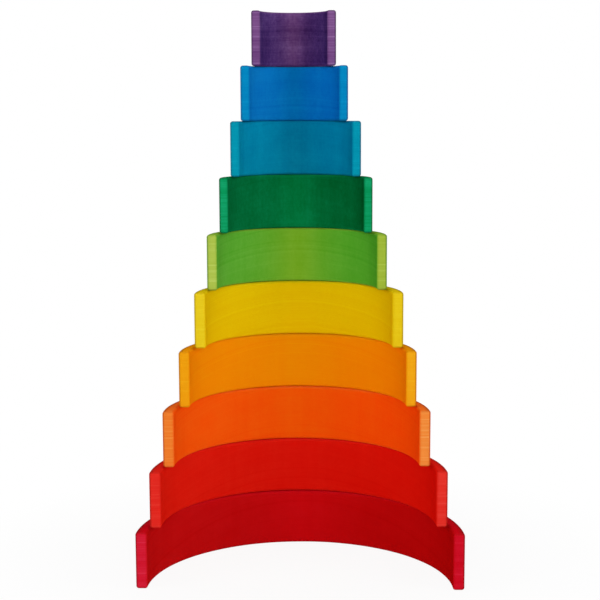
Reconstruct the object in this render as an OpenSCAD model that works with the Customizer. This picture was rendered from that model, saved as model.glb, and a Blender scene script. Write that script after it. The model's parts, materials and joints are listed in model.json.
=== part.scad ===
// Rainbow stacker: ten half-round arches of stained wood, laid flat and piled up into a tapering tower.
// All the arches are sawn from one half-round block, so each one nests inside the next larger one.
// +X is to the right, +Y runs from the open feet to the crowns, +Z is up, and the table is at Z = 0.

/* [Block] */
// Outer radius of the block, which is that of the crimson arch
block_radius = 184; // [165:1:210]
// Depth of the block, which is the height of an arch that lies flat
block_depth = 65; // [45:1:85]
// Saw gap between nested neighbours, from the crimson arch to the green one
wide_gap = 3; // [1.5:0.1:4.5]
// Saw gap between nested neighbours, from the green arch to the purple one
narrow_gap = 2.2; // [1.5:0.1:4.5]
// Radius of the sanded edges
edge_radius = 3; // [1:0.25:3.5]

/* [Walls] */
// Wall of the crimson arch
crimson_wall = 13; // [10:0.5:15]
// Wall of the red arch
red_wall = 13; // [10:0.5:15]
// Wall of the orange arch
orange_wall = 13; // [10:0.5:15]
// Wall of the amber arch
amber_wall = 12.5; // [10:0.5:15]
// Wall of the yellow arch
yellow_wall = 13; // [10:0.5:15]
// Wall of the lime arch
lime_wall = 12; // [9:0.5:14]
// Wall of the green arch
green_wall = 10.5; // [8:0.5:13]
// Wall of the teal arch
teal_wall = 11; // [8:0.5:13]
// Wall of the blue arch
blue_wall = 11; // [8:0.5:13]
// Wall of the purple arch
purple_wall = 11; // [8:0.5:13]

/* [Stack] */
// How far the inside of each crown is laid behind the inside of the crown below it
crown_setback = 4.5; // [0:0.5:7]
// Turn of the crimson arch under the stack, with its right foot forward
crimson_turn = 1.5; // [-3:0.5:3]
// How far right of the crimson arch the red arch is laid
red_shift = -1; // [-5:0.5:5]
// How far right of the crimson arch the orange arch is laid
orange_shift = -3; // [-5:0.5:5]
// How far right of the crimson arch the amber arch is laid
amber_shift = -1.5; // [-5:0.5:5]
// How far right of the crimson arch the yellow arch is laid
yellow_shift = 0; // [-5:0.5:5]
// How far right of the crimson arch the lime arch is laid
lime_shift = -2; // [-5:0.5:5]
// How far right of the crimson arch the green arch is laid
green_shift = -3; // [-6:0.5:6]
// How far right of the crimson arch the teal arch is laid
teal_shift = -3; // [-6:0.5:6]
// How far right of the crimson arch the blue arch is laid
blue_shift = -4.5; // [-8:0.5:8]
// How far right of the crimson arch the purple arch is laid
purple_shift = -5; // [-8:0.5:8]

/* [Hidden] */
NODES = ["crimson_arch", "red_arch", "orange_arch", "amber_arch", "yellow_arch",
         "lime_arch", "green_arch", "teal_arch", "blue_arch", "purple_arch"];
$fn = 180;

// Level of an arch in the stack, counted from the table, and what the arches have by level
function level_of(name) = search([name], NODES)[0];
walls = [crimson_wall, red_wall, orange_wall, amber_wall, yellow_wall,
         lime_wall, green_wall, teal_wall, blue_wall, purple_wall];
shifts = [0, red_shift, orange_shift, amber_shift, yellow_shift,
          lime_shift, green_shift, teal_shift, blue_shift, purple_shift];
// The green arch is the last one that the wide saw gap frees from its outer neighbour
last_wide_level = level_of("green_arch");
// How far a cutter reaches past the wood that it trims
cut_slack = 1;
// Sanding the feet leaves a soft edge where its round meets a face, because the round is this much larger
soft_edge = 1.05;

function saw_gap(level) = level <= last_wide_level ? wide_gap : narrow_gap;
function outer_radius(level) = level == 0 ? block_radius : inner_radius(level - 1) - saw_gap(level);
function inner_radius(level) = outer_radius(level) - walls[level];
// Inside of a crown and line of the feet, both measured back from the feet of the crimson arch
function crown_y(level) = inner_radius(0) + level * crown_setback;
function feet_y(level) = crown_y(level) - inner_radius(level);

// The stack's footprint is centred on the origin from front to back
stack_front = -block_radius * sin(abs(crimson_turn));
stack_back = max([for (level = [0 : len(NODES) - 1]) crown_y(level) + walls[level]]);
stack_middle = (stack_front + stack_back) / 2;

// Section through the wall of an arch, with its four long edges sanded round
module wall_section(wall) {
    flat = [wall - 2 * edge_radius, block_depth - 2 * edge_radius];
    translate([edge_radius, 0]) square([flat.x, block_depth]);
    translate([0, edge_radius]) square([wall, flat.y]);
    for (x = [0, flat.x], y = [0, flat.y])
        translate([x + edge_radius, y + edge_radius]) circle(edge_radius);
}

// What sanding takes off a square corner that points to the origin, drawn in plan
module sanded_corner() {
    difference() {
        translate([-cut_slack, -cut_slack]) square(edge_radius + cut_slack);
        translate([edge_radius, edge_radius]) circle(edge_radius * soft_edge);
    }
}

// Sanding of the upright edges of the right foot, on its outside and its inside
module upright_sanding(level) {
    translate([0, 0, -cut_slack]) linear_extrude(block_depth + 2 * cut_slack) {
        translate([inner_radius(level), 0]) sanded_corner();
        translate([outer_radius(level), 0]) mirror([1, 0]) sanded_corner();
    }
}

// Sanding of the level edges of both feet, along the table and along the top
module level_sanding(level) {
    reach = outer_radius(level) + cut_slack;
    translate([-reach, 0, 0]) rotate([90, 0, 90]) linear_extrude(2 * reach) {
        sanded_corner();
        translate([0, block_depth]) mirror([0, 1]) sanded_corner();
    }
}

// One half-round arch, lying flat with its feet on the X axis
module arch(level) {
    difference() {
        rotate_extrude(angle = 180) translate([inner_radius(level), 0]) wall_section(walls[level]);
        level_sanding(level);
        upright_sanding(level);
        mirror([1, 0, 0]) upright_sanding(level);
    }
}

// One arch at its place in the stack
module laid_arch(name, turn = 0) {
    level = level_of(name);
    place = [shifts[level], feet_y(level) - stack_middle, level * block_depth];
    translate(place) rotate(-turn) arch(level);
}

module crimson_arch() { color([0.83, 0.08, 0.18]) laid_arch("crimson_arch", crimson_turn); }
module red_arch() { color([0.91, 0.19, 0.16]) laid_arch("red_arch"); }
module orange_arch() { color([0.95, 0.54, 0.23]) laid_arch("orange_arch"); }
module amber_arch() { color([0.95, 0.64, 0.04]) laid_arch("amber_arch"); }
module yellow_arch() { color([0.91, 0.78, 0.12]) laid_arch("yellow_arch"); }
module lime_arch() { color([0.66, 0.76, 0.26]) laid_arch("lime_arch"); }
module green_arch() { color([0.05, 0.61, 0.38]) laid_arch("green_arch"); }
module teal_arch() { color([0.02, 0.59, 0.70]) laid_arch("teal_arch"); }
module blue_arch() { color([0.01, 0.53, 0.76]) laid_arch("blue_arch"); }
module purple_arch() { color([0.49, 0.31, 0.53]) laid_arch("purple_arch"); }

crimson_arch();
red_arch();
orange_arch();
amber_arch();
yellow_arch();
lime_arch();
green_arch();
teal_arch();
blue_arch();
purple_arch();
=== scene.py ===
# Rainbow stacker: ten stained wooden arches, each remade as a hand-sanded piece in the place of its solid.
# Lengths are in metres, apart from the camera's lens and sensor.
import json
import math
from dataclasses import dataclass

import bmesh
import bpy
import numpy as np
from mathutils import Color, Euler, Matrix, Vector, noise


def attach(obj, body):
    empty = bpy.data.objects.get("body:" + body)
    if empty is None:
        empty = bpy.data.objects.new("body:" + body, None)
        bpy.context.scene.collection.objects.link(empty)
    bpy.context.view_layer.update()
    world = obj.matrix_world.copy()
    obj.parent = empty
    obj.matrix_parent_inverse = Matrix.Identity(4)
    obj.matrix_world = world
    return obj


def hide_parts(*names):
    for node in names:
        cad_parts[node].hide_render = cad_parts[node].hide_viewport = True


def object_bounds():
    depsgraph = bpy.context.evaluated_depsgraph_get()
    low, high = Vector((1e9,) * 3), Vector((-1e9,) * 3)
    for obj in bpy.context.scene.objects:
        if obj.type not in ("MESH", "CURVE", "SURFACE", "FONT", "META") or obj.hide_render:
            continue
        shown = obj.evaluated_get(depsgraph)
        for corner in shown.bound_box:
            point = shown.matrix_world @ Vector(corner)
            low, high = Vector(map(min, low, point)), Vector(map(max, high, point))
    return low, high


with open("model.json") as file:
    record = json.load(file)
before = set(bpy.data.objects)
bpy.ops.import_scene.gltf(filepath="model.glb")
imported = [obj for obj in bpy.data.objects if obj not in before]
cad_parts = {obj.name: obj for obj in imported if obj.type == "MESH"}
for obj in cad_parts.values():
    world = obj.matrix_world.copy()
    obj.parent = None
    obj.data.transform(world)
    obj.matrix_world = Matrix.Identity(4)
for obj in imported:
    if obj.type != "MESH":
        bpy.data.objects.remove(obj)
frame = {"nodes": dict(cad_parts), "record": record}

CAD_LOW, CAD_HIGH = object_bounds()

# Camera of the photograph, fitted to the edges of the arches, with its lens and sensor in millimetres
CAMERA_PLACE = (0.0014, -1.5557, 0.5228)
CAMERA_PITCH = math.radians(-7.69)
CAMERA_ROLL = math.radians(-0.21)
CAMERA_LENS = 80.6
CAMERA_SENSOR = 36.0

# Even light of the studio, from all sides
AMBIENT_LEVEL = 0.10

# The floor is white for the camera. Near the stack it shows a share of its shadow, which fades out between
# two distances from the middle
FLOOR_HALF = 3.0
FLOOR_PAINT = (0.8, 0.8, 0.8, 1)
SHADOW_NEAR = 0.15
SHADOW_FAR = 0.45
SHADOW_SHARE = 0.08

# Sanded edges, as on the solids, how far a hand lets their radius stray, and over what length
EDGE = 0.003
EDGE_STRAY = 0.12
EDGE_STRAY_LENGTH = 0.05
# Steps in the noise that keep the four edges of an arch, and the ten arches, unlike each other
EDGE_STEP = 7.3
ARCH_STEP = 5.1

# Mesh of an arch: steps round an edge, size of a cell, the narrow cell that holds an edge crisp,
# how far the skin lies inside the solid's round walls, and how close points are one point
EDGE_STEPS = 8
CELL = 0.0025
HOLD = 0.0004
INSET = 0.00003
SAME_POINT = 1e-6

# How much of the walls' deeper tone the level faces take: partly a deeper dye, and partly painted shade, as
# less light reaches them
LEVEL_DYE_AND_SHADE = 0.6
# Painted shade: how much darker the walls are made at their right end than in their middle, and lighter by as
# much at their left end
RIGHT_WALL_SHADE = 0.08
# How soon a wall that curves away from the fibres shows end grain
FACE_GRAIN = 0.12
# Painted shade on the rounded edges, which turn away from the lamps: its share on the edges, most on the
# outer ones, its share at the outer rims, how far it fades from them over the level faces, and its colour
EDGE_SHADE = 0.85
RIM_SHADE = 0.45
RIM_REACH = 0.001
SHADE_COLOUR = (0.02, 0.015, 0.012, 1)

# Growth rings lie round the pith, a line along X at this place in the block, and wander as they grow
PITH = (0, -0.01, 0.38)
ACROSS_PITH = (0, 1, 1)
RING_WANDER = 0.004
WANDER_SIZE = (0.12, 0.06, 0.06)
# Step in the noise that keeps the rings of the ten arches unlike each other
RING_STEP = 37.0

# Widths of the figure that follows the rings: fine and broad bands, pale lines and dark lines
FINE_RING = 0.002
BROAD_RING = 0.009
PALE_LINE = 0.004
DARK_LINE = 0.005
# Heights of the rings' noise at which a line starts and at which it is full
PALE_RISE = (0.15, 0.24)
DARK_RISE = (0.16, 0.22)

# Sizes of the figure that fills the wood, along X, Y and Z
FIBRE = (0.035, 0.0011, 0.0011)
BLOTCH = (0.05, 0.05, 0.025)
STREAK = (0.012, 0.012, 1.0)
SPECKLE = (0.003, 0.003, 0.005)

# How much each kind of figure changes the depth of the dye
FOOT_RINGS = 0.10
WALL_RINGS = 0.045
FINE_SHARE = 1.4
PALE_SHARE = 0.9
DARK_LINES = 0.05
FIBRES = 0.14
BLOTCHES = 0.22
STREAKS = 0.16

# Surface of the stained wood: its roughness, how much the fibres change it, and how high and how strongly
# they stand out
ROUGHNESS = 0.8
FIBRE_ROUGHNESS = 0.3
FIBRE_RELIEF = 0.0004
RELIEF_STRENGTH = 0.25


@dataclass
class Stain:
    """How one arch took its dye: its tone on the walls, its tone where they cut across the grain, both as
    shares of 255, how strongly its rings, its fibres and its mottling show, and how much deeper the dye sits
    on the right foot and thinner on the left."""
    wall: tuple
    ends: tuple
    rings: float
    fibres: float
    mottling: float
    right_foot: float = 0.0


STAINS = {
    "crimson_arch": Stain(wall=(207, 12, 19), ends=(184, 11, 12), rings=1.9, fibres=0.6, mottling=0.5,
                          right_foot=0.085),
    "red_arch": Stain(wall=(224, 23, 12), ends=(217, 24, 11), rings=1.5, fibres=0.7, mottling=0.6,
                      right_foot=-0.05),
    "orange_arch": Stain(wall=(249, 94, 7), ends=(245, 84, 8), rings=2.2, fibres=0.7, mottling=0.6,
                         right_foot=-0.075),
    "amber_arch": Stain(wall=(245, 148, 3), ends=(242, 139, 3), rings=1.1, fibres=1.0, mottling=0.5,
                        right_foot=-0.035),
    "yellow_arch": Stain(wall=(236, 196, 3), ends=(229, 194, 3), rings=1.1, fibres=2.4, mottling=0.5,
                         right_foot=0.05),
    "lime_arch": Stain(wall=(126, 183, 43), ends=(80, 170, 49), rings=1.4, fibres=0.7, mottling=0.8,
                       right_foot=0.095),
    "green_arch": Stain(wall=(4, 126, 67), ends=(2, 99, 50), rings=2.4, fibres=0.5, mottling=1.3),
    "teal_arch": Stain(wall=(3, 122, 158), ends=(2, 134, 173), rings=0.8, fibres=0.5, mottling=1.1),
    "blue_arch": Stain(wall=(3, 112, 180), ends=(7, 116, 196), rings=0.9, fibres=0.8, mottling=0.9),
    "purple_arch": Stain(wall=(102, 63, 116), ends=(63, 39, 100), rings=2.4, fibres=1.7, mottling=2.0,
                         right_foot=-0.03),
}


@dataclass
class Plan:
    """One arch as the frame holds it: its place, its sizes and its turn on the stack."""
    centre: Vector
    outer: float
    inner: float
    depth: float
    turn: float

    @property
    def wall(self):
        return self.outer - self.inner

    @property
    def middle(self):
        return (self.outer + self.inner) / 2


def plan_of(node):
    """Reads an arch's plan off its solid: its feet stand on one line, and its crown is a radius behind it."""
    points = np.array([point.co for point in frame["nodes"][node].data.vertices])
    low, high = points.min(0), points.max(0)
    is_left = points[:, 0] < (low[0] + high[0]) / 2
    left, right = (side[side[:, 1].argmin()] for side in (points[is_left], points[~is_left]))
    turn = math.atan2(left[1] - right[1], right[0] - left[0])
    square = points @ np.array(Matrix.Rotation(turn, 3, "Z")).T
    feet, crown = square[:, 1].min(), square[:, 1].max()
    across = (square[:, 0].min() + square[:, 0].max()) / 2
    inner = np.hypot(square[:, 0] - across, square[:, 1] - feet).min()
    centre = Matrix.Rotation(-turn, 3, "Z") @ Vector((across, feet, (low[2] + high[2]) / 2))
    return Plan(centre, crown - feet - INSET, inner + INSET, high[2] - low[2], turn)


def stations(length):
    """Shares of a flat stretch: even cells, with a narrow one at each end that keeps the edge crisp."""
    count = max(1, round((length - 2 * HOLD) / CELL))
    cell = (length - 2 * HOLD) / count
    return [0.0] + [(HOLD + cell * i) / length for i in range(count + 1)] + [1.0]


def section_loop(wall, depth):
    """Walks round the wall's section. Each point is two corners, the share between them and a normal."""
    sides = (wall, depth, wall, depth)
    loop = []
    for corner, side in enumerate(sides):
        for step in range(EDGE_STEPS + 1):
            angle = math.pi / 2 * (corner + step / EDGE_STEPS)
            normal = Vector((math.cos(angle), math.sin(angle)))
            loop.append((corner, corner, 0.0, normal))
        for share in stations(side - 2 * EDGE)[1:-1]:
            loop.append((corner, (corner + 1) % len(sides), share, normal))
    return loop


def along_arch(length):
    """Walks from foot to foot. Each ring is its share of the arc and the tilt of its rounded end."""
    tilts = [math.pi / 2 * (1 - step / EDGE_STEPS) for step in range(EDGE_STEPS + 1)]
    first = [(0.0, tilt) for tilt in tilts]
    body = [(share, 0.0) for share in stations(length - 2 * EDGE)[1:-1]]
    last = [(1.0, tilt) for tilt in reversed(tilts)]
    return first + body + last


class SandedBar:
    """A straight bar with hand-sanded edges, bent into an arch with its feet on the X axis and square."""

    CORNERS = (Vector((1, 1)), Vector((-1, 1)), Vector((-1, -1)), Vector((1, -1)))
    MASKS = ("dye_and_shade", "end_grain", "right", "right_foot", "painted_shade")

    def __init__(self, plan, seed):
        self.plan = plan
        self.seed = seed
        self.half = Vector((plan.wall / 2, plan.depth / 2))
        self.length = math.pi * plan.middle
        self.shape = bmesh.new()
        self.masks = {key: self.shape.verts.layers.float.new(key) for key in self.MASKS}
        self.block = self.shape.verts.layers.float_vector.new("block")

    def edge(self, corner, share):
        """Centre and radius of one long edge's round at a share of the arc, as the hand left it."""
        at = Vector((share * self.length / EDGE_STRAY_LENGTH, corner * EDGE_STEP, self.seed * ARCH_STEP))
        radius = EDGE * (1 + EDGE_STRAY * noise.noise(at))
        side = self.CORNERS[corner]
        return Vector((side.x * (self.half.x - radius), side.y * (self.half.y - radius))), radius

    def point(self, corner, following, mix, normal, share, tilt):
        """Adds one point of the bar's skin, bent into place."""
        (start, first), (end, second) = self.edge(corner, share), self.edge(following, share)
        radius = first + (second - first) * mix
        across, up = start.lerp(end, mix) + normal * radius * math.cos(tilt)
        around = self.plan.middle + across
        set_in = radius * (1 - math.sin(tilt)) / around
        angle = set_in + share * (math.pi - 2 * set_in)
        point = self.place(Vector((around * math.cos(angle), around * math.sin(angle), up)))
        self.mark(point, normal, tilt, across, right=math.cos(angle))
        return point

    def place(self, at):
        """Adds one point, which keeps its place in the block that the arch was sawn from."""
        point = self.shape.verts.new(at)
        point[self.block] = at
        return point

    def mark(self, point, normal, tilt, across, right):
        """Marks how much of a point is wall, level face or foot, how it meets the grain, and the painted
        shade on its edges and rims.
        """
        wall = (normal.x * math.cos(tilt)) ** 2
        level = (normal.y * math.cos(tilt)) ** 2
        foot = math.sin(tilt) ** 2
        # Painted shade: the rounded edges, most the outer ones, and the outer rims of the level faces are
        # darkened where they turn away from the lamps
        on_edge = EDGE_SHADE * (1 - max(wall, level, foot)) * (1 + normal.x) / 2
        from_rim = max(0, self.half.x - EDGE - across)
        on_rim = RIM_SHADE * level * math.exp(-from_rim / RIM_REACH)
        # The level faces take part of the walls' deeper tone, partly as painted shade
        point[self.masks["dye_and_shade"]] = wall + LEVEL_DYE_AND_SHADE * level
        point[self.masks["end_grain"]] = wall * right ** 2 / (right ** 2 + FACE_GRAIN)
        point[self.masks["right"]] = wall * right
        point[self.masks["right_foot"]] = foot * right
        point[self.masks["painted_shade"]] = max(on_edge, on_rim)

    def skin(self):
        """The long skin: rings of the section from one foot to the other."""
        loop = section_loop(self.plan.wall, self.plan.depth)
        rings = [[self.point(*spot, share, tilt) for spot in loop] for share, tilt in along_arch(self.length)]
        for ring, following in zip(rings, rings[1:]):
            for i in range(len(loop)):
                j = (i + 1) % len(loop)
                self.shape.faces.new((ring[i], ring[j], following[j], following[i]))

    def foot(self, share, side):
        """The flat face of one foot: a grid between the centres of its four edges."""
        corners = [self.edge(corner, share)[0] for corner in range(len(self.CORNERS))]
        rows = []
        for down in stations(self.plan.depth - 2 * EDGE):
            rows.append([])
            for across in stations(self.plan.wall - 2 * EDGE):
                upper = corners[0].lerp(corners[1], across)
                lower = corners[3].lerp(corners[2], across)
                at = upper.lerp(lower, down)
                point = self.place(Vector((side * (self.plan.middle + at.x), 0, at.y)))
                point[self.masks["right_foot"]] = side
                rows[-1].append(point)
        for row, following in zip(rows, rows[1:]):
            for i in range(len(row) - 1):
                self.shape.faces.new((row[i], row[i + 1], following[i + 1], following[i]))

    def mesh(self, name):
        """Closes the skin and gives it as a mesh in the stack."""
        self.skin()
        self.foot(share=0.0, side=1)
        self.foot(share=1.0, side=-1)
        bmesh.ops.remove_doubles(self.shape, verts=self.shape.verts, dist=SAME_POINT)
        bmesh.ops.recalc_face_normals(self.shape, faces=self.shape.faces)
        self.shape.transform(Matrix.Translation(self.plan.centre) @ Matrix.Rotation(-self.plan.turn, 4, "Z"))
        mesh = bpy.data.meshes.new(name)
        self.shape.to_mesh(mesh)
        self.shape.free()
        mesh.shade_smooth()
        return mesh


def link_sockets(tree, socket, value):
    """Links a socket to another one, or fills it with a plain value."""
    if isinstance(value, bpy.types.NodeSocket):
        tree.links.new(value, socket)
    else:
        socket.default_value = value


def add(tree, kind, settings=None, **sockets):
    """Adds a node with its settings, and links or fills its sockets by name."""
    node = tree.nodes.new(kind)
    for key, value in (settings or {}).items():
        setattr(node, key, value)
    for key, value in sockets.items():
        link_sockets(tree, node.inputs[key.replace("_", " ")], value)
    return node


def fill(tree, node, *values):
    """Links or fills a node's sockets in their order, and gives its first output."""
    for socket, value in zip(node.inputs, values):
        link_sockets(tree, socket, value)
    return node.outputs[0]


def combine(tree, operation, *values):
    """The result of a math node."""
    return fill(tree, add(tree, "ShaderNodeMath", {"operation": operation}), *values)


def plus(tree, base, figure, share):
    """A base value with a share of a figure added to it."""
    return combine(tree, "MULTIPLY_ADD", figure, share, base)


def attribute(tree, name, output="Fac"):
    """What the mesh holds under a name."""
    return add(tree, "ShaderNodeAttribute", {"attribute_name": name}).outputs[output]


def blend(tree, share, first, second):
    """The colour between two colours."""
    return fill(tree, add(tree, "ShaderNodeMixRGB"), share, first, second)


def linear(tone):
    """The linear colour of a tone given as shares of 255, with full cover."""
    shares = Color([channel / 255 for channel in tone])
    return (*shares.from_srgb_to_scene_linear(), 1)


def around_zero(tree, grain):
    """The value of a noise node, moved to lie around zero."""
    return combine(tree, "SUBTRACT", grain.outputs["Fac"], 0.5)


def grains(tree, place, sizes, detail=2):
    """Noise whose grains have the given sizes along X, Y and Z."""
    scaled = add(tree, "ShaderNodeMapping", Vector=place, Scale=[1 / size for size in sizes])
    grain = add(tree, "ShaderNodeTexNoise", Vector=scaled.outputs[0], Scale=1.0, Detail=detail)
    return around_zero(tree, grain)


def ring_noise(tree, rings, width, seed):
    """Noise that changes only from one growth ring to the next."""
    along = plus(tree, seed * RING_STEP, rings, 1 / width)
    grain = add(tree, "ShaderNodeTexNoise", {"noise_dimensions": "1D"}, W=along, Scale=1.0, Detail=1.0)
    return around_zero(tree, grain)


def ring_lines(tree, rings, width, seed, rise):
    """Sparse lines, where the noise of the growth rings rises from a start to its full height."""
    start, full = rise
    height = ring_noise(tree, rings, width, seed)
    return add(tree, "ShaderNodeMapRange", Value=height, From_Min=start, From_Max=full).outputs[0]


def growth_rings(tree, place):
    """Distance from the pith, with the slow wander of a grown tree."""
    sides = add(tree, "ShaderNodeVectorMath", {"operation": "SUBTRACT"})
    flat = add(tree, "ShaderNodeVectorMath", {"operation": "MULTIPLY"})
    fill(tree, sides, place, PITH)
    fill(tree, flat, sides.outputs[0], ACROSS_PITH)
    distance = add(tree, "ShaderNodeVectorMath", {"operation": "LENGTH"}, Vector=flat.outputs[0])
    wander = grains(tree, place, WANDER_SIZE, detail=1)
    return plus(tree, distance.outputs["Value"], wander, RING_WANDER)


def ring_depth(tree, place, dye_and_shade, stain, seed, depth):
    """Adds the growth rings to the depth of the dye: strong on the feet, and faint on the walls."""
    rings = growth_rings(tree, place)
    fine = ring_noise(tree, rings, FINE_RING, seed)
    broad = ring_noise(tree, rings, BROAD_RING, seed)
    pale = ring_lines(tree, rings, PALE_LINE, seed, PALE_RISE)
    dark = ring_lines(tree, rings, DARK_LINE, seed, DARK_RISE)
    ringed = plus(tree, broad, fine, FINE_SHARE)
    ringed = plus(tree, ringed, pale, -PALE_SHARE)
    on_feet = FOOT_RINGS * stain.rings
    on_walls = WALL_RINGS * stain.fibres
    strength = plus(tree, on_feet, dye_and_shade, on_walls - on_feet)
    depth = plus(tree, depth, ringed, strength)
    lines = combine(tree, "MULTIPLY", dark, dye_and_shade)
    return plus(tree, depth, lines, DARK_LINES)


def mottled_depth(tree, place, dye_and_shade, stain, depth):
    """Adds the uneven soaking of the dye: blotches all over, and streaks and speckles on the walls."""
    depth = plus(tree, depth, grains(tree, place, BLOTCH), BLOTCHES * stain.mottling)
    uneven = combine(tree, "ADD", grains(tree, place, STREAK), grains(tree, place, SPECKLE))
    on_walls = combine(tree, "MULTIPLY", uneven, dye_and_shade)
    return plus(tree, depth, on_walls, STREAKS * stain.mottling)


def dye_depth(tree, place, dye_and_shade, fibre, stain, seed):
    """How deep the dye sits: 1 where it is even, deeper towards the right end of the walls as painted shade,
    deeper or thinner on the right foot, and changed by the figure of the wood.
    """
    # Painted shade: the walls darken towards their right end
    depth = plus(tree, 1.0, attribute(tree, "right"), RIGHT_WALL_SHADE)
    depth = plus(tree, depth, attribute(tree, "right_foot"), stain.right_foot)
    depth = ring_depth(tree, place, dye_and_shade, stain, seed, depth)
    depth = plus(tree, depth, fibre, FIBRES * stain.fibres)
    return mottled_depth(tree, place, dye_and_shade, stain, depth)


def dye_tone(tree, dye_and_shade, face, stain):
    """Colour of the dye where it is even: thin on the feet, deeper in the walls and across the grain, and
    between the two on the level faces, there partly as painted shade.
    """
    wall = blend(tree, attribute(tree, "end_grain"), linear(stain.wall), linear(stain.ends))
    return blend(tree, dye_and_shade, (*face, 1), wall)


def stained_wood(name, face, stain, seed):
    """Water stain on pale wood, with painted shade over its edges and outer rims and the fine relief of the
    fibres.
    """
    material = bpy.data.materials.new(name)
    material.use_nodes = True
    tree = material.node_tree
    place = attribute(tree, "block", "Vector")
    dye_and_shade = attribute(tree, "dye_and_shade")
    fibre = grains(tree, place, FIBRE)

    tone = dye_tone(tree, dye_and_shade, face, stain)
    depth = dye_depth(tree, place, dye_and_shade, fibre, stain, seed)
    dyed = add(tree, "ShaderNodeGamma", Color=tone, Gamma=depth).outputs[0]
    bump = add(tree, "ShaderNodeBump", Strength=RELIEF_STRENGTH, Distance=FIBRE_RELIEF, Height=fibre)

    shader = tree.nodes["Principled BSDF"]
    shader.inputs["Specular IOR Level"].default_value = 0.0
    # The painted shade on the edges and rims darkens the dyed colour
    link_sockets(tree, shader.inputs["Base Color"], blend(tree, attribute(tree, "painted_shade"), dyed, SHADE_COLOUR))
    link_sockets(tree, shader.inputs["Roughness"], plus(tree, ROUGHNESS, fibre, FIBRE_ROUGHNESS))
    link_sockets(tree, shader.inputs["Normal"], bump.outputs[0])
    return material


def put(name, data):
    """Adds an object to the scene."""
    item = bpy.data.objects.new(name, data)
    bpy.context.scene.collection.objects.link(item)
    return item


def softbox(name, azimuth, elevation, distance, size, level):
    """A large soft lamp that faces the middle of the stack. Azimuth 0 is at the camera's side, and the level
    is about the brightness that it gives to a white surface which faces it there."""
    lamp = bpy.data.lights.new(name, "AREA")
    lamp.shape = "DISK"
    lamp.size = size
    lamp.energy = level * (math.pi * distance) ** 2
    holder = put(name, lamp)
    turn = Euler((math.radians(90 - elevation), 0, math.radians(azimuth)))
    holder.rotation_euler = turn
    holder.location = (CAD_LOW + CAD_HIGH) / 2 + turn.to_matrix() @ Vector((0, 0, distance))
    holder.visible_camera = False


def studio_lamps():
    """Soft lamps all round the stack and above it, a little brighter from the right than from the left."""
    softbox("front softbox", azimuth=0, elevation=12, distance=2.6, size=1.6, level=0.46)
    softbox("right softbox", azimuth=67, elevation=20, distance=2.4, size=1.4, level=0.335)
    softbox("left softbox", azimuth=-67, elevation=20, distance=2.4, size=1.4, level=0.28)
    softbox("top softbox", azimuth=0, elevation=88, distance=2.4, size=2.0, level=0.32)
    softbox("back softbox", azimuth=180, elevation=8, distance=2.6, size=1.6, level=0.40)


def studio_world():
    """A white background for the camera and for reflections, and a dim even light for the rest."""
    world = bpy.data.worlds.new("studio")
    bpy.context.scene.world = world
    world.use_nodes = True
    tree = world.node_tree
    rays = add(tree, "ShaderNodeLightPath")
    seen = combine(tree, "ADD", rays.outputs["Is Camera Ray"], rays.outputs["Is Glossy Ray"])
    seen = combine(tree, "ADD", seen, rays.outputs["Is Transmission Ray"])
    strength = add(tree, "ShaderNodeMapRange", Value=seen, To_Min=AMBIENT_LEVEL, To_Max=1.0)
    background = tree.nodes["Background"]
    background.inputs["Color"].default_value = (1, 1, 1, 1)
    link_sockets(tree, background.inputs["Strength"], strength.outputs[0])


def floor_paint():
    """White paint that shows a soft shadow near the stack and fades into the background."""
    material = bpy.data.materials.new("floor")
    material.use_nodes = True
    tree = material.node_tree
    tree.nodes.remove(tree.nodes["Principled BSDF"])
    paint = add(tree, "ShaderNodeBsdfDiffuse", Color=FLOOR_PAINT)
    glow = add(tree, "ShaderNodeEmission", Color=(1, 1, 1, 1), Strength=1.0)
    place = add(tree, "ShaderNodeTexCoord").outputs["Object"]
    away = add(tree, "ShaderNodeVectorMath", {"operation": "LENGTH"}, Vector=place).outputs["Value"]
    fade = add(tree, "ShaderNodeMapRange", Value=away, From_Min=SHADOW_NEAR, From_Max=SHADOW_FAR,
               To_Min=1 - SHADOW_SHARE, To_Max=1.0)
    seen = add(tree, "ShaderNodeLightPath").outputs["Is Camera Ray"]
    share = combine(tree, "MULTIPLY", fade.outputs[0], seen)
    mix = fill(tree, add(tree, "ShaderNodeMixShader"), share, paint.outputs[0], glow.outputs[0])
    link_sockets(tree, tree.nodes["Material Output"].inputs["Surface"], mix)
    return material


def pale_floor():
    """A plain white floor under the stack."""
    mesh = bpy.data.meshes.new("floor")
    corners = [(x * FLOOR_HALF, y * FLOOR_HALF, 0) for x, y in ((-1, -1), (1, -1), (1, 1), (-1, 1))]
    mesh.from_pydata(corners, [], [range(len(corners))])
    mesh.materials.append(floor_paint())
    put("floor", mesh)


def photo_camera():
    """The camera at the photograph's place."""
    lens = bpy.data.cameras.new("camera")
    lens.lens = CAMERA_LENS
    lens.sensor_width = CAMERA_SENSOR
    camera = put("camera", lens)
    camera.location = CAMERA_PLACE
    turn = Matrix.Rotation(math.pi / 2 + CAMERA_PITCH, 3, "X") @ Matrix.Rotation(CAMERA_ROLL, 3, "Z")
    camera.rotation_euler = turn.to_euler()
    bpy.context.scene.camera = camera


def sanded_arches():
    """The ten arches, each on its own body and in its own stain."""
    faces = {stain["slot"]: stain["base_color"] for stain in frame["record"]["materials"]}
    for seed, (name, stain) in enumerate(STAINS.items()):
        slot = name.replace("_arch", "_stain")
        mesh = SandedBar(plan_of(name), seed).mesh("sanded_" + name)
        mesh.materials.append(stained_wood(slot, faces[slot], stain, seed))
        piece = put("sanded_" + name, mesh)
        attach(piece, name)
        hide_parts(name)


bpy.context.scene.view_settings.view_transform = "Standard"
photo_camera()
studio_world()
pale_floor()
studio_lamps()
sanded_arches()
